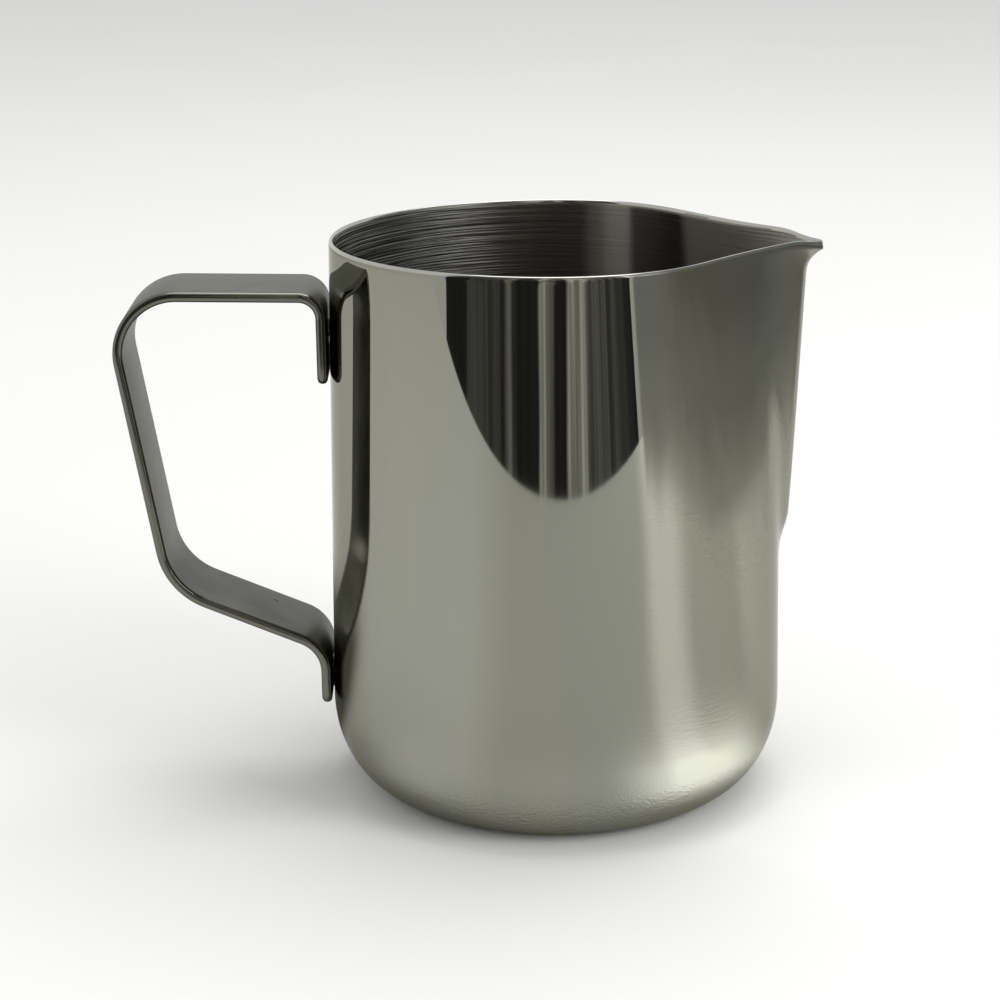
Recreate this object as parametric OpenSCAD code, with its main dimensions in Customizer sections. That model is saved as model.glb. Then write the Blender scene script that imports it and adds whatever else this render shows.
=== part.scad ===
// Milk frothing pitcher. A deep-drawn steel cup with a pressed pouring spout stands on a
// flat ring at z = 0. A strap handle of bent flat bar is spot-welded to the wall at two tabs.
// Millimetres. +Z is up, +X points out of the spout, and the handle is on the -X side.

/* [Cup] */
// Outer diameter of the wall where it leaves the base corner
base_d = 90; // [80:0.5:110]
// Outer diameter of the wall at the rim
rim_d = 87; // [78:0.5:108]
// Height of the rim above the surface that the cup stands on
cup_h = 110.5; // [100:0.5:130]
// Thickness of the sheet
wall_t = 1; // [0.8:0.1:1.2]
// Width of the rounded corner between base and wall
corner_w = 13; // [10:0.5:16]
// Height of the rounded corner between base and wall
corner_h = 18; // [14:0.5:18]
// Height of the rounded-over rim edge
rim_round = 1.1; // [0.6:0.1:1.6]
// Width of the flat ring that the cup stands on
foot_w = 4; // [3:0.5:6]
// Height by which the middle of the base is set up from the ring
base_recess = 0.8; // [0.4:0.1:1.2]

/* [Spout] */
// How far the spout stands out of the round rim
spout_reach = 7.6; // [5:0.2:10]
// Extra reach of the small beak at the very tip
beak_reach = 3.7; // [0:0.1:4]
// Half-width of the spout at the rim, as an angle seen from the cup's axis
spout_angle = 13.6; // [11:0.2:16]
// How far the rim is drawn in on each side of the spout
side_draw = 4.2; // [2:0.2:5]
// Angle from the spout to where the rim is drawn in most
draw_angle = 38; // [34:1:42]
// Height at which the spout's ridge starts on the wall
spout_z = 45.5; // [45:0.5:60]
// How far the tip dips below the rim
tip_dip = 2.6; // [0:0.2:4]
// How far the rim dips along both sides of the spout
side_dip = 0.8; // [0:0.1:1.5]

/* [Handle] */
// Width of the flat bar
strap_w = 20.5; // [16:0.5:24]
// Thickness of the flat bar
strap_t = 2; // [1.6:0.1:2.4]
// Height of the top run's centre line at the cup end
top_z = 100.6; // [96:0.2:103]
// Distance from the cup's axis to the top outer corner of the bar's centre line
corner_x = 86; // [80:0.2:92]
// Rise of the top run from the cup end to the outer corner
top_rise = 0.9; // [0:0.1:2]
// Distance from the cup's axis to the lower outer corner of the bar's centre line
heel_x = 76.3; // [70:0.1:80]
// Height of the lower outer corner of the bar's centre line
heel_z = 42.9; // [38:0.2:48]
// Height at which the lower run's centre line meets the lower tab
arm_z = 30; // [28:0.2:34]
// Centre-line bend radius at the upper tab
tab_bend_r = 4.3; // [3.5:0.1:5]
// Centre-line bend radius at the top outer corner
corner_bend_r = 11.4; // [8:0.1:12]
// Centre-line bend radius at the lower outer corner
heel_bend_r = 14; // [8:0.1:14]
// Centre-line bend radius at the lower tab
arm_bend_r = 7.5; // [4:0.1:8]
// Height of the upper tab's free end
upper_tab_z = 83.6; // [82:0.2:88]
// Height of the lower tab's free end
lower_tab_z = 18.3; // [17:0.1:20]
// Radius of the tabs' free corners
tab_corner_r = 2; // [1:0.5:6]

/* [Welds] */
// Gap that the welds bridge between the wall and the tabs
weld_gap = 0.05; // [0.05:0.05:0.3]
// Radius of each upper spot weld
upper_weld_r = 2.2; // [1.5:0.1:2.5]
// Radius of each lower spot weld
lower_weld_r = 1.6; // [1:0.1:1.8]

/* [Hidden] */
$fn = 96;

steel = [0.72, 0.72, 0.7];
strap_steel = [0.6, 0.6, 0.58];
weld_steel = [0.45, 0.44, 0.42];

base_r = base_d / 2;
rim_r = rim_d / 2;

// Outer radius of the plain round wall at height z, a straight taper above the corner
function wall_r(z) = base_r + (rim_r - base_r) * (z - corner_h) / (cup_h - corner_h);

// The cup is turned up to join_z, and its spouted wall is swept above that height
join_z = 44;
lap = 1;
lap_inset = 0.1;
lap_run = 0.3;

// Share of the full spout at height z, from 0 where the ridge starts to 1 at the rim
function rise(z) = max(0, min(1, (z - spout_z) / (cup_h - spout_z)));
// A soft step from 0 to 1
function ease(u) = u * u * (3 - 2 * u);
function clamp01(u) = max(0, min(1, u));
function bell(a, w) = exp(-(a / w) * (a / w));

// The ridge comes out of the wall over chin_h, then leans outwards in a straight line
chin_h = 9;
ridge_low = 1.6;
ridge_high = spout_reach - 1.2;
lip_h = 7;
function ridge(z) =
    ease(clamp01((z - spout_z) / chin_h)) * (ridge_low + (ridge_high - ridge_low) * rise(z))
    + (spout_reach - ridge_high) * pow(clamp01((z - cup_h + lip_h) / lip_h), 2);
function beak(z) = beak_reach * pow(clamp01((z - cup_h + lip_h) / lip_h), 3);
beak_angle = 3.6;
// The spout narrows downwards, and the drawn-in sides fade out
low_angle = 5.5;
function ridge_angle(z) = low_angle + (spout_angle - low_angle) * pow(rise(z), 0.8);
draw_spread = 24;
function draw_in(z) = side_draw * pow(clamp01((z - 60) / (cup_h - 60)), 1.4);

// Outer surface of the spouted wall at azimuth a and height z
function skin_r(a, z) =
    wall_r(z) + ridge(z) * bell(a, ridge_angle(z)) + beak(z) * bell(a, beak_angle)
    - draw_in(z) * (bell(a - draw_angle, draw_spread) + bell(a + draw_angle, draw_spread));
dip_h = 30;
dip_spread = 34;
function dip(a, z) =
    pow(clamp01((z - cup_h + dip_h) / dip_h), 3)
    * (side_dip * bell(a, dip_spread) + (tip_dip - side_dip) * bell(a, beak_angle * 1.6));
function skin(a, z) = [skin_r(a, z) * cos(a), skin_r(a, z) * sin(a), z - dip(a, z)];
// Outward normal of that surface, from small steps along it
step = 0.05;
function unit(v) = v / norm(v);
function skin_n(a, z) =
    unit(cross(skin(a + step, z) - skin(a - step, z), skin(a, z) - skin(a, z - step)));

// Heights of the swept rings, and the angles of the half-round rim
ring_z = [46, 48.5, 51, 54, 58, 64, 71, 78, 85, 91, 96, 100, 103, 105.5, 107.5, cup_h - rim_round];
rim_turn = [30, 60, 90, 120, 150];
last = len(ring_z) - 1;
function rim_point(a, t) =
    let (p = skin(a, cup_h - rim_round), n = skin_n(a, cup_h - rim_round))
    p - n * (wall_t / 2) * (1 - cos(t)) + [0, 0, rim_round * sin(t)];
// Foot of the swept wall, a little inside the turned wall so that the two join cleanly
function foot(a, r, z) = [r * cos(a), r * sin(a), z];
function section(a) = concat(
    [foot(a, wall_r(join_z) - lap_inset, join_z - lap)],
    [foot(a, wall_r(join_z + lap_run), join_z + lap_run)],
    [for (z = ring_z) skin(a, z)],
    [for (t = rim_turn) rim_point(a, t)],
    [for (i = [last:-1:0]) skin(a, ring_z[i]) - skin_n(a, ring_z[i]) * wall_t],
    [foot(a, wall_r(join_z + lap_run) - wall_t, join_z + lap_run)],
    [foot(a, wall_r(join_z) - wall_t + lap_inset, join_z - lap)]
);

// Columns of the sweep, from the back round to the back, closest together at the spout
front_half = 60;
front_n = 27;
back_n = 30;
function spread(u) = front_half * u * (0.7 + 0.3 * u * u);
columns = concat(
    [for (i = [0:back_n - 1]) -180 + i * (180 - front_half) / back_n],
    [for (i = [-front_n:front_n]) spread(i / front_n)],
    [for (i = [1:back_n - 1]) front_half + i * (180 - front_half) / back_n]
);

module swept_wall() {
    rows = len(section(0));
    count = len(columns);
    points = [for (a = columns) each section(a)];
    faces = [
        for (i = [0:count - 1], j = [0:rows - 1])
            let (k = (i + 1) % count, m = (j + 1) % rows)
            each [
                [i * rows + j, i * rows + m, k * rows + m],
                [i * rows + j, k * rows + m, k * rows + j]
            ]
    ];
    polyhedron(points = points, faces = faces, convexity = 6);
}

// Outer radius of the flat ring that the cup stands on
foot_r = base_r - corner_w;
corner_step = 6;

// Half-section of the turned cup, drawn in by d from its outer surface
module half_section(d) {
    polygon(concat(
        [[0, d]],
        [for (t = [0:corner_step:90])
            [foot_r + (corner_w - d) * sin(t), corner_h - (corner_h - d) * cos(t)]],
        [[wall_r(join_z) - d, join_z], [0, join_z]]
    ));
}

// Half-section of the set-up middle of the base, from height z
module recess_section(z) {
    foot_in = foot_r - foot_w;
    polygon([
        [0, z],
        [foot_in, z],
        [foot_in - base_recess, z + base_recess],
        [0, z + base_recess]
    ]);
}

module turned_cup() {
    rotate_extrude()
        difference() {
            half_section(0);
            recess_section(0);
            difference() {
                half_section(wall_t);
                recess_section(wall_t);
            }
        }
}

module cup_body() {
    color(steel) {
        turned_cup();
        swept_wall();
    }
}

// Centre line of the strap, from the upper tab's end to the lower tab's end
upper_tab_x = wall_r(upper_tab_z) + weld_gap + strap_t / 2;
lower_tab_x = base_r + weld_gap + strap_t / 2;
path = [
    [-upper_tab_x, upper_tab_z],
    [-upper_tab_x, top_z],
    [-corner_x, top_z + top_rise],
    [-heel_x, heel_z],
    [-lower_tab_x, arm_z],
    [-lower_tab_x, lower_tab_z]
];
bend_r = [0, tab_bend_r, corner_bend_r, heel_bend_r, arm_bend_r, 0];

function heading(i) = atan2(path[i + 1][1] - path[i][1], path[i + 1][0] - path[i][0]);
// Turn at corner i, positive to the left, between -180 and 180
function turn(i) = let (d = heading(i) - heading(i - 1)) d > 180 ? d - 360 : d < -180 ? d + 360 : d;
// Length of each straight that the bend at its end takes up
function setback(i) = i == 0 || i == len(path) - 1 ? 0 : bend_r[i] * tan(abs(turn(i)) / 2);

// Points of the bar's edge at distance side from the centre line, with each bend in short steps
bend_step = 4;
function along(i) = [cos(heading(i)), sin(heading(i))];
function across(i) = [-sin(heading(i)), cos(heading(i))];
function bend_points(i, side) =
    let (
        s = sign(turn(i)),
        centre = path[i] - along(i - 1) * setback(i) + across(i - 1) * s * bend_r[i],
        r = bend_r[i] - s * side,
        n = ceil(abs(turn(i)) / bend_step)
    )
    [for (k = [0:n])
        let (a = heading(i - 1) - s * 90 + turn(i) * k / n)
        centre + r * [cos(a), sin(a)]];
end = len(path) - 1;
function edge_points(side) = concat(
    [path[0] + across(0) * side],
    [for (i = [1:end - 1]) each bend_points(i, side)],
    [path[end] + across(end - 1) * side]
);
function reversed(v) = [for (i = [len(v) - 1:-1:0]) v[i]];

// What is cut from the square corners at a tab's free end, pointing up or down with dir
module tab_corner_cut(x, z, dir) {
    for (s = [-1, 1])
        translate([x, s * (strap_w / 2 - tab_corner_r), z + dir * tab_corner_r])
            difference() {
                translate([0, s * (tab_corner_r + 1) / 2, -dir * (tab_corner_r + 1) / 2])
                    cube([2 * strap_t, tab_corner_r + 1, tab_corner_r + 1], center = true);
                rotate([0, 90, 0]) cylinder(r = tab_corner_r, h = 3 * strap_t, center = true);
            }
}

module handle_strap() {
    color(strap_steel)
        difference() {
            translate([0, strap_w / 2, 0]) rotate([90, 0, 0]) linear_extrude(strap_w)
                polygon(concat(edge_points(strap_t / 2), reversed(edge_points(-strap_t / 2))));
            tab_corner_cut(-upper_tab_x, upper_tab_z, 1);
            tab_corner_cut(-lower_tab_x, lower_tab_z, 1);
        }
}

// One spot weld, from the tab's face to where the round wall first meets its flat end
module spot_weld(face_x, z, r) {
    wall_x = wall_r(z - r);
    translate([-face_x, 0, z]) rotate([0, 90, 0]) cylinder(r = r, h = face_x - wall_x);
}

upper_weld_z = [87.6, 93.4];
lower_weld_z = [20.2, 23.8];

module upper_spot_welds() {
    color(weld_steel)
        for (z = upper_weld_z) spot_weld(upper_tab_x - strap_t / 2, z, upper_weld_r);
}

module lower_spot_welds() {
    color(weld_steel)
        for (z = lower_weld_z) spot_weld(lower_tab_x - strap_t / 2, z, lower_weld_r);
}

cup_body();
handle_strap();
upper_spot_welds();
lower_spot_welds();
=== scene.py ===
"""Milk frothing pitcher: the polished cup, its strap handle and the plain stage it stands on."""

import math

import bpy
from mathutils import Matrix, Vector


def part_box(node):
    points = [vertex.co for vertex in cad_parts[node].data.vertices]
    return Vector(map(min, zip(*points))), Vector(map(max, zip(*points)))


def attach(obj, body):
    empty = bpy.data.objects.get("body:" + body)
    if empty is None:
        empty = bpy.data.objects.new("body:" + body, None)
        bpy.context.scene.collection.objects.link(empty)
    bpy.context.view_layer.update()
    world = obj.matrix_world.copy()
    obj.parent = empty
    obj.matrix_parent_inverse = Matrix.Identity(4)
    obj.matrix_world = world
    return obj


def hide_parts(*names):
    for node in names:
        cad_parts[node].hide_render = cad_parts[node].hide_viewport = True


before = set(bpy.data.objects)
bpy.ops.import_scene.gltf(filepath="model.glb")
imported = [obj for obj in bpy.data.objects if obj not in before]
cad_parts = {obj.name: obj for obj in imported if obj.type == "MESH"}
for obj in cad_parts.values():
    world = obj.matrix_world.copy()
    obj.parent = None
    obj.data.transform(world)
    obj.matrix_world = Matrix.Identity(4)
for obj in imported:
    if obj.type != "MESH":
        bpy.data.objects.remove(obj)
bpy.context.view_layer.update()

bl_info = {
    "name": "Milk Frothing Pitcher",
    "version": (1, 0, 0),
    "blender": (4, 5, 0),
    "location": "3D View > Sidebar > Pitcher",
    "description": "Builds a polished milk frothing pitcher around its CAD frame",
    "category": "Object",
}

MM = 0.001
STRAP_LOW, STRAP_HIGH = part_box("handle_strap")
CUP_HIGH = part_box("cup_body")[1]


def length(name, description, default):
    """A size in metres that the sidebar shows with its unit."""
    return bpy.props.FloatProperty(
        name=name, description=description, default=default, unit="LENGTH", precision=5
    )


def tint(name, description, default):
    """A colour that the sidebar shows as a swatch."""
    return bpy.props.FloatVectorProperty(
        name=name, description=description, default=default, subtype="COLOR", size=3, min=0, max=1
    )


def turn(name, description, degrees):
    """An angle that the sidebar shows in degrees."""
    return bpy.props.FloatProperty(
        name=name, description=description, default=math.radians(degrees), unit="ROTATION"
    )


class CupSizes(bpy.types.PropertyGroup):
    base_radius: length("Base radius", "Wall radius just above the base corner", CUP_HIGH.y)
    rim_radius: length("Rim radius", "Wall radius at the rim", 43.5 * MM)
    height: length("Height", "Height of the rim", CUP_HIGH.z)
    wall: length("Wall", "Thickness of the sheet", 1 * MM)
    corner_width: length("Corner width", "Width of the rounded base corner", 13 * MM)
    corner_height: length("Corner height", "Height of the rounded base corner", 18 * MM)
    rim_round: length("Rim rounding", "Height of the rounded rim edge", 1.1 * MM)
    foot: length("Foot ring", "Width of the ring that the cup stands on", 4 * MM)
    recess: length("Base recess", "How far the middle of the base is set up", 0.8 * MM)
    spout_base: length("Spout base", "Height at which the spout's ridge starts", 45.5 * MM)
    spout_reach: length("Spout reach", "How far the spout stands out of the round rim", 7.6 * MM)
    beak_reach: length("Beak reach", "Extra reach at the very tip", 3.7 * MM)
    spout_angle: turn("Spout angle", "Half-width of the spout at the rim", 13.6)
    side_draw: length("Side draw", "How far the rim is drawn in beside the spout", 4.2 * MM)
    draw_angle: turn("Draw angle", "Where the rim is drawn in most", 38)
    tip_dip: length("Tip dip", "How far the tip dips", 2.6 * MM)
    side_dip: length("Side dip", "How far the rim dips beside the spout", 0.8 * MM)
    segments: bpy.props.IntProperty(
        name="Segments", description="Steps of the spin round the cup", default=288, min=48
    )


class StrapSizes(bpy.types.PropertyGroup):
    width: length("Width", "Width of the flat bar", STRAP_HIGH.y - STRAP_LOW.y)
    thickness: length("Thickness", "Thickness of the flat bar", 2 * MM)
    edge: length("Edge rounding", "Rounding of the bar's long edges", 0.9 * MM)
    tab_corner: length("Tab corner", "Radius of the tabs' free corners", 2 * MM)


class Finishes(bpy.types.PropertyGroup):
    cup: tint("Cup steel", "Colour of the polished wall", (0.31, 0.31, 0.262))
    inside: tint("Inside steel", "Colour of the brushed inside", (0.36, 0.332, 0.29))
    strap: tint("Strap steel", "Colour of the tumbled strap", (0.205, 0.208, 0.19))
    weld: tint("Weld steel", "Colour of the weld metal", (0.16, 0.15, 0.14))
    floor: tint("Floor", "Colour of the pale floor", (0.80, 0.80, 0.79))


# ---------------------------------------------------------------- modelling helpers


def clear_selection():
    """Leaves nothing selected and no object in edit mode."""
    if bpy.context.object and bpy.context.object.mode != "OBJECT":
        bpy.ops.object.mode_set(mode="OBJECT")
    bpy.ops.object.select_all(action="DESELECT")


def pick(piece):
    """Makes the piece the only selected and active object."""
    clear_selection()
    piece.select_set(True)
    bpy.context.view_layer.objects.active = piece


def select_where(piece, kind, test):
    """In edit mode, selects the vertices, edges or faces that pass the test and no others."""
    bpy.ops.mesh.select_mode(type=kind)
    bpy.ops.mesh.select_all(action="DESELECT")
    bpy.ops.object.mode_set(mode="OBJECT")
    mesh = piece.data
    items = {"VERT": mesh.vertices, "EDGE": mesh.edges, "FACE": mesh.polygons}[kind]
    for item in items:
        item.select = test(mesh, item)
    bpy.ops.object.mode_set(mode="EDIT")


def edge_ends(mesh, edge):
    return [mesh.vertices[i].co for i in edge.vertices]


def clean_up(piece, smooth_degrees):
    """Merges doubles, turns all faces outwards and smooths the shading up to an angle."""
    pick(piece)
    bpy.ops.object.mode_set(mode="EDIT")
    bpy.ops.mesh.select_all(action="SELECT")
    bpy.ops.mesh.remove_doubles(threshold=1e-6)
    bpy.ops.mesh.normals_make_consistent(inside=False)
    bpy.ops.object.mode_set(mode="OBJECT")
    bpy.ops.object.shade_smooth_by_angle(angle=math.radians(smooth_degrees))
    clear_selection()


# ---------------------------------------------------------------- shader helpers


class Sock:
    """A shader socket that takes part in Python arithmetic. Each expression adds Math nodes."""

    def __init__(self, net, out):
        self.net, self.out = net, out

    def _math(self, operation, *values):
        return self.net.node("ShaderNodeMath", {"operation": operation}, list(values))

    def __add__(self, other):
        return self._math("ADD", self, other)

    __radd__ = __add__

    def __sub__(self, other):
        return self._math("SUBTRACT", self, other)

    def __rsub__(self, other):
        return self._math("SUBTRACT", other, self)

    def __mul__(self, other):
        return self._math("MULTIPLY", self, other)

    __rmul__ = __mul__

    def __truediv__(self, other):
        return self._math("DIVIDE", self, other)

    def __pow__(self, other):
        return self._math("POWER", self, other)

    def __abs__(self):
        return self._math("ABSOLUTE", self)

    def arctan2(self, other):
        return self._math("ARCTAN2", self, other)

    def step(self, low, high):
        """A soft ramp from 0 at low to 1 at high."""
        settings = {"interpolation_type": "SMOOTHSTEP"}
        values = {"Value": self, "From Min": low, "From Max": high}
        return self.net.node("ShaderNodeMapRange", settings, values)


class Net:
    """A material's node tree, with a Principled shader at its end."""

    def __init__(self, name):
        self.material = bpy.data.materials.new(name)
        self.material.use_nodes = True
        self.tree = self.material.node_tree
        self.shader = self.tree.nodes["Principled BSDF"]
        place = self.tree.nodes.new("ShaderNodeTexCoord")
        self.place = Sock(self, place.outputs["Object"])
        split = self.tree.nodes.new("ShaderNodeSeparateXYZ")
        self.tree.links.new(place.outputs["Object"], split.inputs[0])
        self.x, self.y, self.z = (Sock(self, out) for out in split.outputs)

    def azimuth(self):
        """The angle round the cup's axis, from the spout."""
        return self.y.arctan2(self.x)

    def bearing(self):
        """The angle round the cup's axis, from the front and to the right."""
        return self.x.arctan2(self.y * -1)

    def reach(self):
        """The distance from the cup's axis."""
        return (self.x * self.x + self.y * self.y) ** 0.5

    def node(self, kind, settings, values, out=0):
        """Adds a node: its settings first, then the values or links of its sockets."""
        made = self.tree.nodes.new(kind)
        for key, value in settings.items():
            if key == "stops":
                self._set_stops(made.color_ramp, value)
            else:
                setattr(made, key, value)
        pairs = values.items() if isinstance(values, dict) else enumerate(values)
        for key, value in pairs:
            socket = made.inputs[key]
            if isinstance(value, Sock):
                self.tree.links.new(value.out, socket)
            else:
                socket.default_value = value
        return Sock(self, made.outputs[out])

    @staticmethod
    def _set_stops(ramp, stops):
        ramp.interpolation = "EASE"
        while len(ramp.elements) < len(stops):
            ramp.elements.new(0.5)
        for element, (at, colour) in zip(ramp.elements, stops):
            element.position = at
            element.color = (*colour, 1)

    def ramp(self, position, stops):
        """A colour ramp whose stops are (position, colour), with soft steps between them."""
        return self.node("ShaderNodeValToRGB", {"stops": stops}, [position])

    def vector(self, x, y, z):
        return self.node("ShaderNodeCombineXYZ", {}, [x, y, z])

    def noise(self, vector, scale=1.0, detail=2.0, roughness=0.5):
        values = {"Vector": vector, "Scale": scale, "Detail": detail, "Roughness": roughness}
        return self.node("ShaderNodeTexNoise", {}, values, "Fac")

    def mix(self, factor, a, b):
        """Mixes two colours, each a plain colour or a socket."""
        settings = {"data_type": "RGBA"}
        pair = [c if isinstance(c, Sock) else (*c, 1) for c in (a, b)]
        return self.node("ShaderNodeMix", settings, {0: factor, 6: pair[0], 7: pair[1]}, 2)

    def bump(self, height, distance, under=None):
        values = {"Height": height, "Distance": distance}
        if under:
            values["Normal"] = under
        return self.node("ShaderNodeBump", {}, values)

    def finish(self, **sockets):
        """Sets or links the Principled shader's sockets, named with _ for spaces."""
        for key, value in sockets.items():
            socket = self.shader.inputs[key.replace("_", " ")]
            if isinstance(value, Sock):
                self.tree.links.new(value.out, socket)
            else:
                socket.default_value = value
        return self.material


# ---------------------------------------------------------------- the cup's shape


def clamp01(value):
    return max(0.0, min(1.0, value))


def ease(u):
    return u * u * (3 - 2 * u)


def bell(angle, width):
    return math.exp(-((angle / width) ** 2))


class CupForm:
    """The cup's outer surface as it leaves the press, in millimetres and degrees."""

    # height over which the ridge's foot rises, the foot's height off the wall, the lip's height
    CHIN, RIDGE_LOW, LIP = 9.0, 1.6, 7.0
    # how far the rim's own reach exceeds the ridge's
    LIP_FLARE = 1.2
    # half-widths of the beak and of the ridge's foot
    BEAK_ANGLE, FOOT_ANGLE = 3.6, 5.5
    # half-width of each drawn-in side, and the height where drawing in starts
    DRAW_SPREAD, DRAW_FROM = 24.0, 60.0
    # height and half-width over which the rim dips towards the spout
    DIP_DEPTH, DIP_SPREAD = 30.0, 34.0
    # the wall is plainly round up to ROUND_TO, and its rings lie closest from RIM_FROM up
    ROUND_TO, RIM_FROM = 44, 96
    # radii of the rings in the base's flat middle, and the softening of the foot ring's corners
    MIDDLE_RINGS, FOOT_BEND, FOOT_DROP = (0, 8, 16), 0.35, 0.12
    CORNER_STEPS, RIM_STEPS = 20, 12

    def __init__(self, sizes):
        self.s = sizes
        self.top = (sizes.height - sizes.rim_round) / MM
        self.height = sizes.height / MM
        self.spout_z = sizes.spout_base / MM
        self.reach = sizes.spout_reach / MM
        self.high = self.reach - self.LIP_FLARE
        self.spout_angle = math.degrees(sizes.spout_angle)
        self.draw_angle = math.degrees(sizes.draw_angle)

    def wall(self, z):
        """Radius of the plain round wall at height z."""
        s = self.s
        base, rim, low = (v / MM for v in (s.base_radius, s.rim_radius, s.corner_height))
        return base + (rim - base) * (z - low) / (self.height - low)

    def radius(self, a, z):
        up = clamp01((z - self.spout_z) / (self.height - self.spout_z))
        lip = clamp01((z - self.height + self.LIP) / self.LIP)
        chin = ease(clamp01((z - self.spout_z) / self.CHIN))
        ridge = chin * (self.RIDGE_LOW + (self.high - self.RIDGE_LOW) * up)
        ridge += (self.reach - self.high) * lip**2
        ridge_angle = self.FOOT_ANGLE + (self.spout_angle - self.FOOT_ANGLE) * up**0.8
        beak = self.s.beak_reach / MM * lip**3
        fade = clamp01((z - self.DRAW_FROM) / (self.height - self.DRAW_FROM)) ** 1.4
        right, left = (bell(a + k * self.draw_angle, self.DRAW_SPREAD) for k in (-1, 1))
        return (
            self.wall(z)
            + ridge * bell(a, ridge_angle)
            + beak * bell(a, self.BEAK_ANGLE)
            - self.s.side_draw / MM * fade * (right + left)
        )

    def dip(self, a, z):
        side, tip = self.s.side_dip / MM, self.s.tip_dip / MM
        depth = clamp01((z - self.height + self.DIP_DEPTH) / self.DIP_DEPTH) ** 3
        return depth * (
            side * bell(a, self.DIP_SPREAD) + (tip - side) * bell(a, self.BEAK_ANGLE * 1.6)
        )

    def skin(self, a, z):
        r, turn_a = self.radius(a, z), math.radians(a)
        return Vector((r * math.cos(turn_a), r * math.sin(turn_a), z - self.dip(a, z)))

    def normal(self, a, z, small=0.05):
        across = self.skin(a + small, z) - self.skin(a - small, z)
        upwards = self.skin(a, z) - self.skin(a, z - small)
        return across.cross(upwards).normalized()

    def profile(self):
        """Radius and height along the section, from the base's middle out, up and back inside."""
        s = self.s
        wall, foot, recess = (v / MM for v in (s.wall, s.foot, s.recess))
        wide, tall = s.corner_width / MM, s.corner_height / MM
        turn_r = s.base_radius / MM - wide
        foot_in = turn_r - foot

        def floor(level):
            middle = [(r, level + recess) for r in self.MIDDLE_RINGS]
            return middle + [
                (foot_in - recess - self.FOOT_BEND, level + recess),
                (foot_in - recess, level + recess - self.FOOT_DROP),
                (foot_in - recess / 2, level + recess / 2),
                (foot_in, level + self.FOOT_DROP),
                (foot_in + self.FOOT_BEND, level),
                (foot_in + foot / 2, level),
                (turn_r, level),
            ]

        def bend(depth):
            steps = self.CORNER_STEPS
            angles = [math.pi / 2 * k / steps for k in range(1, steps + 1)]
            return [
                (turn_r + (wide - depth) * math.sin(t), tall - (tall - depth) * math.cos(t))
                for t in angles
            ]

        heights = [22, 27, 32, 38, 42, self.ROUND_TO]
        heights += [self.ROUND_TO + k for k in range(1, 13)]
        heights += [self.ROUND_TO + 12 + 2.5 * k for k in range(1, 17)]
        heights += [self.RIM_FROM + (self.top - self.RIM_FROM) * k / 24 for k in range(1, 25)]
        outer = [(self.wall(z), z) for z in heights]
        inner = [(self.wall(z) - wall, z) for z in reversed(heights)]
        rim = []
        for k in range(1, self.RIM_STEPS):
            t = math.pi * k / self.RIM_STEPS
            inset = wall / 2 * (1 - math.cos(t))
            rim.append((self.wall(self.top) - inset, self.top + s.rim_round / MM * math.sin(t)))
        return (
            floor(0) + bend(0) + outer + rim + inner
            + list(reversed(bend(wall))) + list(reversed(floor(wall)))
        )

    def pressed(self, place):
        """Where a point of the round cup, in metres, ends up once the spout is pressed in."""
        x, y, z = (v / MM for v in place)
        rho = math.hypot(x, y)
        if z <= self.ROUND_TO + 0.001 or rho < 1:
            return place
        a = math.degrees(math.atan2(y, x))
        level = min(z, self.top)
        depth = self.wall(level) - rho
        point = self.skin(a, level) - self.normal(a, level) * depth
        point.z += z - level
        return point * MM


def gather_columns(place, share=0.45):
    """Turns a point about the axis so that the spun columns lie closer together at the spout."""
    a = math.atan2(place.y, place.x)
    return Matrix.Rotation(-share * math.sin(a), 3, "Z") @ place


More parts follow.
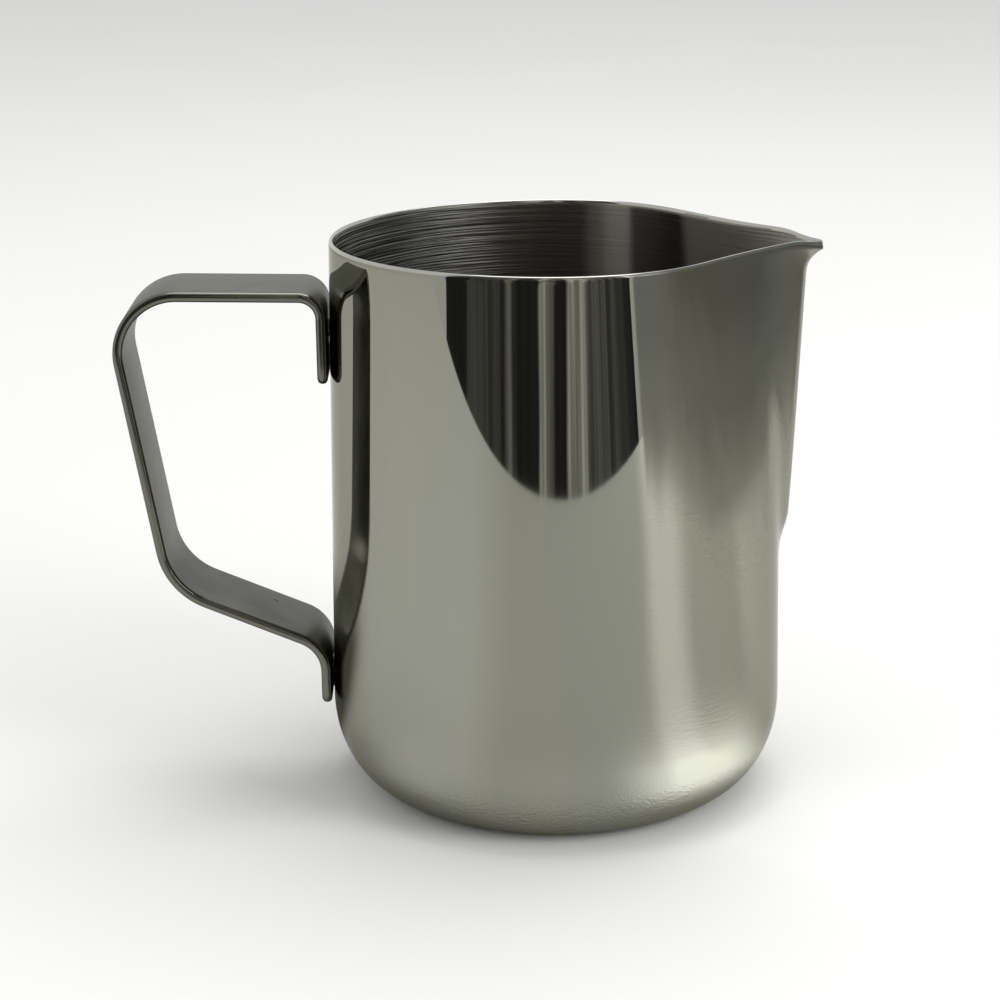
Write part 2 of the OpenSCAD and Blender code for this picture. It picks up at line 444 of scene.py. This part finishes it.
class PITCHER_OT_cup_body(bpy.types.Operator):
    """Spins the cup's section round its axis and presses the spout into the wall"""

    bl_idname = "pitcher.cup_body"
    bl_label = "Cup Body"

    def execute(self, context):
        sizes = context.scene.pitcher_cup
        form = CupForm(sizes)
        section = [Vector((r * MM, 0, z * MM)) for r, z in form.profile()]
        cup = self.draw_section(section)
        self.spin_section(cup, sizes.segments)
        for vertex in cup.data.vertices:
            vertex.co = form.pressed(gather_columns(vertex.co))
        clean_up(cup, 60)
        self.assign_finishes(cup, form, sizes)
        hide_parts("cup_body")
        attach(cup, "root")
        return {"FINISHED"}

    def draw_section(self, section):
        """Extrudes one vertex along the section."""
        clear_selection()
        bpy.ops.mesh.primitive_plane_add(size=MM, location=(0, 0, 0))
        cup = bpy.context.object
        cup.name = cup.data.name = "polished_cup"
        bpy.ops.object.mode_set(mode="EDIT")
        select_where(cup, "VERT", lambda mesh, v: v.index != 0)
        bpy.ops.mesh.delete(type="VERT")
        bpy.ops.mesh.select_all(action="SELECT")
        bpy.ops.transform.translate(value=section[0] - cup.data.vertices[0].co)
        for here, there in zip(section, section[1:]):
            bpy.ops.mesh.extrude_region_move(TRANSFORM_OT_translate={"value": there - here})
        return cup

    def spin_section(self, cup, segments):
        bpy.ops.mesh.select_all(action="SELECT")
        bpy.ops.mesh.spin(
            steps=segments, angle=2 * math.pi, center=(0, 0, 0), axis=(0, 0, 1), use_auto_merge=True
        )
        bpy.ops.mesh.select_all(action="SELECT")
        bpy.ops.mesh.remove_doubles(threshold=1e-6)
        bpy.ops.object.mode_set(mode="OBJECT")

    def assign_finishes(self, cup, form, sizes):
        """Gives the outside, the inside and the rim's top their own finishes."""
        outside, inside, rim_top = range(3)
        floor_top, corner_top = 1.2 * MM, 16 * MM
        finishes = bpy.context.scene.pitcher_finishes
        cup.data.materials.clear()
        for finish in (outside_finish(finishes), inside_finish(finishes), rim_finish(finishes)):
            cup.data.materials.append(finish)
        rim_low = sizes.height - sizes.rim_round
        for face in cup.data.polygons:
            c = face.center
            a = math.degrees(math.atan2(c.y, c.x))
            lip_z = rim_low - form.dip(a, form.top) * MM
            inwards = face.normal.x * c.x + face.normal.y * c.y < 0
            low_inside = c.z < corner_top and face.normal.z > 0.05
            if c.z > lip_z + sizes.rim_round / 2:
                face.material_index = rim_top
            elif low_inside or (inwards and c.z > floor_top):
                face.material_index = inside
            else:
                face.material_index = outside


# ---------------------------------------------------------------- the strap's shape


# corners of the strap's centre line in X and Z, in millimetres, with each bend's radius
BAR_PATH = (
    (-44.986, 83.6, 0),
    (-44.986, 100.6, 4.3),
    (-85.99, 101.5, 11.4),
    (-76.3, 42.9, 14.0),
    (-46.05, 30.0, 7.5),
    (-46.05, 18.3, 0),
)
TAB_ENDS = (BAR_PATH[0][1] * MM, BAR_PATH[-1][1] * MM)
TABS_FROM_X = -50 * MM


class PITCHER_OT_handle_strap(bpy.types.Operator):
    """Extrudes and bends a flat bar along the handle's run and rounds its edges"""

    bl_idname = "pitcher.handle_strap"
    bl_label = "Handle Strap"

    def execute(self, context):
        sizes = context.scene.pitcher_strap
        strap = self.start_bar(sizes)
        self.run_bar()
        self.round_tabs(strap, sizes)
        self.round_edges(strap, sizes)
        clean_up(strap, 40)
        strap.data.materials.clear()
        strap.data.materials.append(strap_finish(context.scene.pitcher_finishes))
        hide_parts("handle_strap")
        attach(strap, "root")
        return {"FINISHED"}

    def start_bar(self, sizes):
        """The bar's cross-section, lying at the upper tab's free end."""
        x, z, _ = BAR_PATH[0]
        clear_selection()
        bpy.ops.mesh.primitive_plane_add(size=1, location=(x * MM, 0, z * MM))
        strap = bpy.context.object
        strap.name = strap.data.name = "bent_strap"
        strap.scale = (sizes.thickness, sizes.width, 1)
        bpy.ops.object.transform_apply(location=True, rotation=True, scale=True)
        bpy.ops.object.mode_set(mode="EDIT")
        bpy.ops.mesh.select_mode(type="FACE")
        bpy.ops.mesh.select_all(action="SELECT")
        return strap

    def run_bar(self):
        """Extrudes each straight and spins each bend."""
        corners = [Vector((x, 0, z)) * MM for x, z, _ in BAR_PATH]
        radii = [r * MM for _, _, r in BAR_PATH]
        here = corners[0]
        for i in range(1, len(corners)):
            ahead = (corners[i] - corners[i - 1]).normalized()
            last = i == len(corners) - 1
            after = ahead if last else (corners[i + 1] - corners[i]).normalized()
            bend = math.atan2(ahead.cross(after).y, ahead.dot(after))
            setback = radii[i] * math.tan(abs(bend) / 2)
            there = corners[i] - ahead * setback
            steps = max(1, round((there - here).length / (4 * MM)))
            for _ in range(steps):
                bpy.ops.mesh.extrude_region_move(
                    TRANSFORM_OT_translate={"value": (there - here) / steps}
                )
            if last:
                break
            side = Vector((0, 1, 0)).cross(ahead) * math.copysign(1, bend)
            bpy.ops.mesh.spin(
                steps=max(6, round(abs(math.degrees(bend)) / 3)),
                angle=-bend,
                center=there + side * radii[i],
                axis=(0, 1, 0),
            )
            here = corners[i] + after * setback

    def round_tabs(self, strap, sizes):
        """Rounds the two free corners of each tab."""

        def free_corner(mesh, edge):
            a, b = edge_ends(mesh, edge)
            at_end = any(abs(a.z - end) < 1e-5 and abs(b.z - end) < 1e-5 for end in TAB_ENDS)
            return at_end and min(a.x, b.x) > TABS_FROM_X and abs(a.y - b.y) < 1e-6

        select_where(strap, "EDGE", free_corner)
        bpy.ops.mesh.bevel(offset=sizes.tab_corner, segments=8, affect="EDGES", clamp_overlap=False)
        bpy.ops.object.mode_set(mode="OBJECT")

    def round_edges(self, strap, sizes):
        pick(strap)
        rounding = strap.modifiers.new("edge_rounding", "BEVEL")
        rounding.width = sizes.edge
        rounding.segments = 4
        rounding.limit_method = "ANGLE"
        rounding.angle_limit = math.radians(60)
        rounding.use_clamp_overlap = False
        bpy.ops.object.modifier_apply(modifier=rounding.name)


class PITCHER_OT_spot_welds(bpy.types.Operator):
    """Gives the spot welds between tabs and wall their dull metal"""

    bl_idname = "pitcher.spot_welds"
    bl_label = "Spot Welds"

    def execute(self, context):
        finish = weld_finish(context.scene.pitcher_finishes)
        for name in ("upper_spot_welds", "lower_spot_welds"):
            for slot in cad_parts[name].material_slots:
                slot.material = finish
        return {"FINISHED"}


# ---------------------------------------------------------------- finishes
#
# Heights and bump depths are in metres, noise scales are per metre, and angles are in radians.


def outside_finish(finishes):
    """Mirror polish at the top that fades to satin, with polishing lines round the wall."""
    net = Net("polished steel")
    around = net.azimuth()
    down = net.z.step(0.085, 0.012)
    satin = net.z.step(0.072, 0.048) * net.z.step(0.010, 0.030)
    lines = net.noise(net.vector(around * 14, net.z * 1900, 0), detail=3.0, roughness=0.6)
    bands = net.noise(net.vector(around * 2.6, net.z * 7, 3), detail=2.0)
    patches = net.noise(net.place, scale=45.0, detail=2.0)
    grain = net.noise(net.place, scale=2000.0, detail=1.5)
    low = net.z.step(0.017, 0.005)
    roughness = 0.025 + down * 0.15 + low * 0.06 + (patches - 0.5) * 0.02
    warm = tuple(c * k for c, k in zip(finishes.cup, (1.03, 1.0, 0.97)))
    cool = tuple(c * k for c, k in zip(finishes.cup, (0.96, 0.98, 1.0)))
    colour = net.mix(bands.step(0.35, 0.65), warm, cool)
    normal = net.bump(lines * satin * (0.25 + net.x.step(-0.005, 0.02)), 0.00003)
    normal = net.bump(grain * low, 0.00027, under=normal)
    return net.finish(
        Base_Color=colour,
        Metallic=1.0,
        Roughness=roughness,
        Normal=normal,
        Specular_Tint=(0.62, 0.62, 0.58, 1.0),
    )


def inside_finish(finishes):
    """Circular brushing, coarsest by the handle, with a dull band and a dull spout that are painted
    paler as a highlight.
    """
    net = Net("brushed inside steel")
    around = net.azimuth()
    reach = net.reach()
    wall = net.z.step(0.012, 0.03)
    along = net.z - reach * (1 - wall)
    half_turn = abs(around) / math.pi
    coarse = net.noise(net.vector(around * 0.9, net.z * 1700, 0), detail=2.5, roughness=0.6)
    fine = net.noise(net.vector(around * wall * 3, along * 2600, 7), detail=2.0)
    handle_side = net.x.step(0.0, -0.025) * wall
    dull = (
        (0, 0.3), (0.2, 0.5), (0.235, 0.5), (0.262, 0), (0.35, 0.1), (0.37, 0.9),
        (0.39, 0.8), (0.42, 0.35), (0.445, 0), (1, 0),
    )
    stops = [(at, (value, value, value)) for at, value in dull]
    bands = net.ramp(half_turn, stops) * wall
    dark = tuple(c * 0.55 for c in finishes.inside)
    # Painted highlight: the dull bands and the spout are painted paler, towards the full inside
    # colour, on top of being rougher and less metallic.
    colour = net.mix(bands + coarse * 0.4, dark, tuple(finishes.inside))
    colour = net.mix(handle_side, colour, (0.21, 0.21, 0.205))
    normal = net.bump(coarse * (0.1 * wall + handle_side), 0.0005)
    normal = net.bump(fine, 0.00003, under=normal)
    roughness = 0.285 + fine * 0.03 + bands * 0.15
    metal = 0.98 - bands * (0.4 + coarse * 0.5)
    return net.finish(Base_Color=colour, Metallic=metal, Roughness=roughness, Normal=normal)


def rim_finish(finishes):
    """Buffed rim edge, painted brighter than the wall as a highlight."""
    net = Net("buffed rim steel with painted highlight")
    around = net.azimuth()
    lines = net.noise(net.vector(around * 6, net.z * 2500, 0), detail=2.0)
    roughness = 0.1 + lines * 0.06
    # Painted highlight: the rim's top is painted paler than the wall, as the bright line of light
    # along the rim.
    colour = net.mix(lines, (0.42, 0.42, 0.38), (0.52, 0.52, 0.48))
    return net.finish(Base_Color=colour, Metallic=1.0, Roughness=roughness)


def strap_finish(finishes):
    """Tumbled half gloss with fine grain and a few specks, a painted highlight on top and painted
    dark reflections along the edges.
    """
    net = Net("tumbled strap steel")
    half = (STRAP_HIGH.y - STRAP_LOW.y) / 2
    edge = abs(net.y).step(half - 0.0012, half - 0.0006)
    cloud = net.noise(net.place, scale=75.0, detail=4.0, roughness=0.6).step(0.3, 0.7)
    grain = net.noise(net.vector(net.x * 500, net.y * 2500, net.z * 500), detail=2.0)
    pits = net.noise(net.place, scale=600.0, detail=0.0).step(0.82, 0.87)
    dark, pale = (tuple(c * k for c in finishes.strap) for k in (0.72, 1.4))
    colour = net.mix(cloud, dark, tuple(finishes.strap))
    # Painted highlight: the strap above 85 mm is painted paler, as if lit from above.
    colour = net.mix(net.z.step(0.085, 0.1) * 0.6, colour, pale)
    # Painted reflection: the bar's long edges are painted dark, in half the cup's colour.
    colour = net.mix(edge, colour, tuple(c * 0.5 for c in finishes.cup))
    colour = net.mix(pits, colour, (0.05, 0.045, 0.04))
    roughness = 0.285 + cloud * 0.09 + pits * 0.3 - edge * 0.2
    normal = net.bump(grain * (1 - edge), 0.00001)
    normal = net.bump(pits * -1, 0.00004, under=normal)
    return net.finish(
        Base_Color=colour,
        Metallic=1.0,
        Roughness=roughness,
        Normal=normal,
        Specular_Tint=(0.6, 0.6, 0.58, 1.0),
    )


def weld_finish(finishes):
    """Dull heat-marked weld metal."""
    net = Net("weld steel")
    mottle = net.noise(net.place, scale=800.0, detail=3.0)
    colour = net.mix(mottle, tuple(finishes.weld), (0.34, 0.31, 0.27))
    normal = net.bump(mottle, 0.00005)
    return net.finish(Base_Color=colour, Metallic=1.0, Roughness=0.35 + mottle * 0.2, Normal=normal)


def plain_finish(name, colour, roughness=0.9):
    """A matt stage colour with a barely visible unevenness."""
    net = Net(name)
    cloud = net.noise(net.place, scale=6.0, detail=2.0)
    shade = net.mix(cloud, tuple(c * 0.97 for c in colour), tuple(colour))
    return net.finish(Base_Color=shade, Roughness=roughness)


def curtain_finish():
    """Dark cloth, in front and to the right, with broad pale streaks of painted light across its
    folds.
    """
    net = Net("dark cloth")
    around = net.bearing()
    sway = net.noise(net.vector(around * 6, 0, net.z * 4), detail=2.0) - 0.5
    folds = net.noise(net.vector(around * 16, 5, net.z * 0.8), detail=3.0, roughness=0.6)
    pale = (
        (0, 0.01), (0.11, 0.01), (0.125, 0.09), (0.3, 0.05), (0.33, 0.2), (0.37, 0.01),
        (0.47, 0.01), (0.49, 0.6), (0.54, 0.2), (0.57, 0.01), (0.61, 0.01), (0.635, 0.7),
        (0.67, 0.25), (0.7, 0.5), (0.75, 0.14), (0.86, 0.1), (0.93, 0.05), (1, 0.02),
    )
    stops = [(at, (shade, shade, shade)) for at, shade in pale]
    along = (around + 0.98) / 1.7 + sway * 0.06
    stripes = net.ramp(along, stops)
    # Painted light: pale streaks, strongest in a few stripes round the cloth, stand for light
    # falling across its folds.
    painted_light_streaks = stripes * (0.45 + folds.step(0.35, 0.6))
    colour = net.mix(painted_light_streaks, (0.002, 0.002, 0.004), (1, 0.98, 0.9))
    return net.finish(Base_Color=colour, Roughness=0.9)


def grey_card_finish(shades, tall, edges, soft):
    """Soft grey that darkens upwards and fades out at the floor and at both edges."""
    net = Net("graded grey card")
    turned = net.bearing()
    low, high = (math.radians(edge) for edge in edges)
    stops = [(at, (shade, shade, shade * 0.97)) for at, shade in shades]
    blotch = net.noise(net.place, scale=14.0, detail=2.0) - 0.5
    height = net.z / tall + blotch * 0.5
    colour = net.ramp(height, stops)
    cover = height.step(-0.1, 0.5) * turned.step(low, low + soft) * turned.step(high, high - 0.2)
    return net.finish(Base_Color=colour, Roughness=0.9, Alpha=cover)


def floor_card_finish():
    """Grey floor card that fades out near the pitcher, with painted shade in front, a painted
    shadow behind to the left and a painted glow in a band to the right and by the pitcher's front.
    """
    net = Net("graded floor card")
    turned = net.bearing()
    reach = net.reach()
    band = turned.step(0.62, 0.76) * turned.step(1.1, 0.9)
    front = net.y.step(0.03, -0.03)
    shine = turned.step(0.2, 0.9) * turned.step(1.9, 1.0) + front * 0.1
    left = turned.step(-0.3, -0.8)
    # Painted shadow: a dark patch on the floor behind and to the left stands for the shadow of the
    # pitcher and its strap.
    dark = turned.step(-1.65, -1.95) * turned.step(-3.0, -2.6) * reach.step(0.20, 0.12)
    # Painted shade: the card is 0.60 grey in front and to the right, against 0.80 to the left, as
    # pale as the floor.
    colour = net.mix(left, (0.60, 0.60, 0.57), (0.80, 0.80, 0.78))
    colour = net.mix(dark, colour, (0.10, 0.10, 0.09))
    # Painted light: the card glows in a band to the right and strongly close to the pitcher in
    # front, putting highlights into the steel's lower corner.
    glow = band * 0.25 + shine * reach.step(0.115, 0.05)
    light = net.mix(glow, (0, 0, 0), (2.0, 2.06, 2.15))
    cover = reach.step(0.065, 0.12) * net.y.step(0.02, -0.03)
    near = (dark + front) * reach.step(0.044, 0.05)
    return net.finish(
        Base_Color=colour,
        Roughness=0.9,
        Emission_Color=light,
        Emission_Strength=1.0,
        Alpha=cover + near,
    )


# ---------------------------------------------------------------- the stage


def stage_plane(name, size, place, finish):
    """A level stage surface that is not part of the pitcher."""
    clear_selection()
    bpy.ops.mesh.primitive_plane_add(size=1, location=place)
    plane = bpy.context.object
    plane.name = plane.data.name = name
    plane.scale = (*size, 1)
    bpy.ops.object.transform_apply(location=True, rotation=True, scale=True)
    plane.data.materials.clear()
    plane.data.materials.append(finish)
    return plane


def only_in_reflections(card):
    """Shows a card in the steel and nowhere else, so that it can't get in any camera's way."""
    card.visible_camera = card.visible_diffuse = card.visible_shadow = False


def soft_light(name, place, target, size, power):
    """A rectangular white soft box that faces its target."""
    light = bpy.data.lights.new(name, "AREA")
    light.shape = "RECTANGLE"
    light.size, light.size_y = size
    light.energy = power
    lamp = bpy.data.objects.new(name, light)
    lamp.location = place
    aim = Vector(target) - Vector(place)
    lamp.rotation_euler = aim.to_track_quat("-Z", "Y").to_euler()
    bpy.context.scene.collection.objects.link(lamp)


class PITCHER_OT_stage(bpy.types.Operator):
    """Sets up the pale floor, the cards that the steel mirrors, the soft lights and the camera"""

    bl_idname = "pitcher.stage"
    bl_label = "Stage"

    CAMERA_PLACE = (-0.0204, -0.4495, 0.1891)
    CAMERA_YAW, CAMERA_PITCH, CAMERA_ROLL = 0.0210, 0.2852, -0.0103
    CAMERA_LENS = 84.65
    TABLE_EDGE = -0.315
    FLOOR_WIDTH, FLOOR_DEPTH = 6.0, 4.0
    CARD_WIDTH, CARD_BACK, CARD_LIFT = 1.2, 0.35, 0.0002
    CARD_STEPS = 160

    def execute(self, context):
        scene = context.scene
        floor = plain_finish("pale floor", tuple(scene.pitcher_finishes.floor))
        centre = (0, self.TABLE_EDGE + self.FLOOR_DEPTH / 2, 0)
        stage_plane("floor", (self.FLOOR_WIDTH, self.FLOOR_DEPTH), centre, floor)
        self.curved_card("dark_curtain", 0.85, (-56, 41), (-0.9, 1.5), 0.012, curtain_finish())
        near = ((0, 1.0), (0.2, 0.8), (0.4, 0.55), (0.7, 0.36), (1, 0.24))
        far = ((0, 0.8), (0.3, 0.55), (0.7, 0.4), (1, 0.34))
        for name, radius, turns, shades, tall, soft in (
            ("near_grey_card", 0.20, (54, 130), near, 0.09, 0.45),
            ("far_grey_card", 0.30, (40, 88), far, 0.06, 0.04),
        ):
            finish = grey_card_finish(shades, tall, turns, soft)
            self.curved_card(name, radius, turns, (0.0, 0.5), 0.0, finish)
        middle = (0, (self.TABLE_EDGE + self.CARD_BACK) / 2, self.CARD_LIFT)
        size = (self.CARD_WIDTH, self.CARD_BACK - self.TABLE_EDGE)
        only_in_reflections(stage_plane("floor_card", size, middle, floor_card_finish()))
        self.lights(scene)
        self.camera(scene)
        return {"FINISHED"}

    def curved_card(self, name, radius, turns, heights, pleat, finish):
        """A card on an arc round the pitcher that only shows up as a reflection in its steel.

        The turns are in degrees from the front, to the right."""
        clear_selection()
        from_turn, to_turn = (math.radians(t) for t in turns)
        bpy.ops.mesh.primitive_plane_add(size=MM, location=(0, 0, 0))
        card = bpy.context.object
        card.name = card.data.name = name
        bpy.ops.object.mode_set(mode="EDIT")
        select_where(card, "VERT", lambda mesh, v: v.index != 0)
        bpy.ops.mesh.delete(type="VERT")
        bpy.ops.mesh.select_all(action="SELECT")
        low, high = heights
        corner = Vector((radius * math.sin(from_turn), -radius * math.cos(from_turn), low))
        bpy.ops.transform.translate(value=corner - card.data.vertices[0].co)
        bpy.ops.mesh.extrude_region_move(TRANSFORM_OT_translate={"value": (0, 0, high - low)})
        bpy.ops.mesh.select_all(action="SELECT")
        bpy.ops.mesh.spin(
            steps=self.CARD_STEPS, angle=from_turn - to_turn, center=(0, 0, 0), axis=(0, 0, 1)
        )
        bpy.ops.object.mode_set(mode="OBJECT")
        for vertex in card.data.vertices:
            a = math.atan2(vertex.co.x, -vertex.co.y)
            fold = 1 + pleat * (math.sin(a * 60) + 0.6 * math.sin(a * 23 + 1))
            vertex.co.x *= fold
            vertex.co.y *= fold
        clear_selection()
        card.data.materials.clear()
        card.data.materials.append(finish)
        only_in_reflections(card)

    def lights(self, scene):
        world = bpy.data.worlds.new("pale surround")
        world.use_nodes = True
        background = world.node_tree.nodes["Background"]
        background.inputs["Color"].default_value = (1, 1, 1, 1)
        background.inputs["Strength"].default_value = 0.8
        scene.world = world
        soft_light("top_light", (0.15, 0.3, 1.3), (0, 0, 0.05), (1.0, 1.0), 8)
        soft_light("right_light", (0.75, -0.5, 0.45), (0, 0, 0.04), (0.4, 0.6), 4)

    def camera(self, scene):
        data = bpy.data.cameras.new("camera")
        data.lens = self.CAMERA_LENS
        data.sensor_width = 36
        data.clip_start = 0.01
        data.dof.use_dof = False
        camera = bpy.data.objects.new("camera", data)
        level = Matrix.Rotation(math.pi / 2 - self.CAMERA_PITCH, 4, "X")
        aim = Matrix.Rotation(-self.CAMERA_YAW, 4, "Z") @ level
        aim = aim @ Matrix.Rotation(self.CAMERA_ROLL, 4, "Z")
        camera.matrix_world = Matrix.Translation(self.CAMERA_PLACE) @ aim
        scene.collection.objects.link(camera)
        scene.camera = camera
        scene.view_settings.view_transform = "Standard"


class PITCHER_PT_sidebar(bpy.types.Panel):
    bl_label = "Milk Frothing Pitcher"
    bl_space_type = "VIEW_3D"
    bl_region_type = "UI"
    bl_category = "Pitcher"

    def draw(self, context):
        layout = self.layout
        for operator in OPERATORS:
            layout.operator(operator.bl_idname)
        for group in (name for name, _ in GROUPS):
            settings = getattr(context.scene, group)
            for name in settings.__annotations__:
                layout.prop(settings, name)


OPERATORS = (
    PITCHER_OT_cup_body,
    PITCHER_OT_handle_strap,
    PITCHER_OT_spot_welds,
    PITCHER_OT_stage,
)
GROUPS = (
    ("pitcher_cup", CupSizes),
    ("pitcher_strap", StrapSizes),
    ("pitcher_finishes", Finishes),
)


def register():
    for name, group in GROUPS:
        bpy.utils.register_class(group)
        setattr(bpy.types.Scene, name, bpy.props.PointerProperty(type=group))
    for operator in OPERATORS:
        bpy.utils.register_class(operator)
    bpy.utils.register_class(PITCHER_PT_sidebar)


def unregister():
    bpy.utils.unregister_class(PITCHER_PT_sidebar)
    for operator in reversed(OPERATORS):
        bpy.utils.unregister_class(operator)
    for name, group in reversed(GROUPS):
        delattr(bpy.types.Scene, name)
        bpy.utils.unregister_class(group)


def main():
    register()
    bpy.ops.pitcher.cup_body()
    bpy.ops.pitcher.handle_strap()
    bpy.ops.pitcher.spot_welds()
    bpy.ops.pitcher.stage()


if __name__ == "__main__":
    main()
